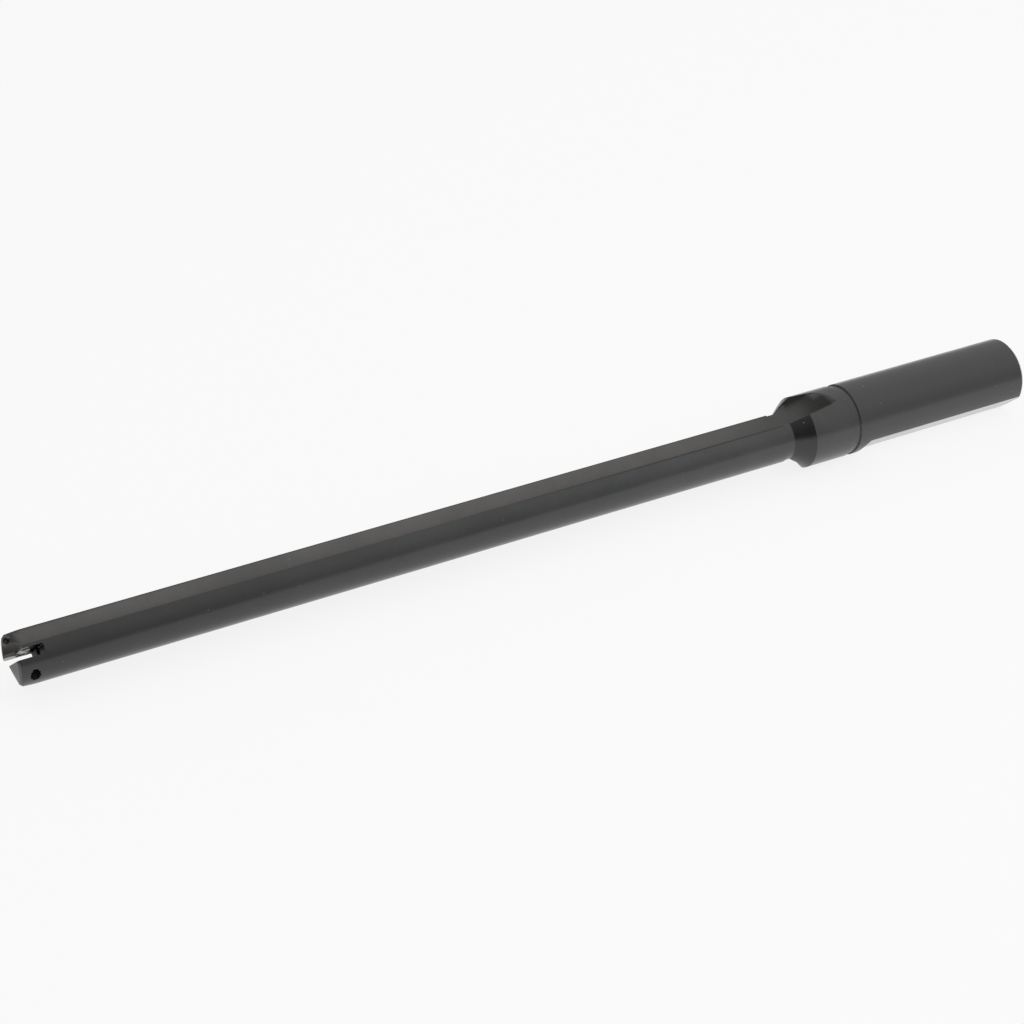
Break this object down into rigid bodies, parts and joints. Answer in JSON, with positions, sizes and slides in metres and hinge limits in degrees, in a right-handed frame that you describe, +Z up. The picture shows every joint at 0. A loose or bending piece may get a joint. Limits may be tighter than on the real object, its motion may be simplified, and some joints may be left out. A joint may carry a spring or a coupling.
{
  "type": "indexable spade drill holder",
  "caption": "Straight-fluted spade drill holder: slender round body with a blade slot at its tip, a collar, and a round shank with a clamping flat.",
  "frame": {"origin": "on the drill's axis, at the front end of the shank, where it meets the collar's groove", "axes": "+X along the drill's axis from the tip toward the shank, +Z up as the holder lies on its side"},
  "size_m": [0.3806, 0.0254, 0.0254],
  "materials": {
    "black_steel": "satin black oxide"
  },
  "bodies": {
    "root": {"drill_holder": "black_steel"}
  },
  "joints": []
}
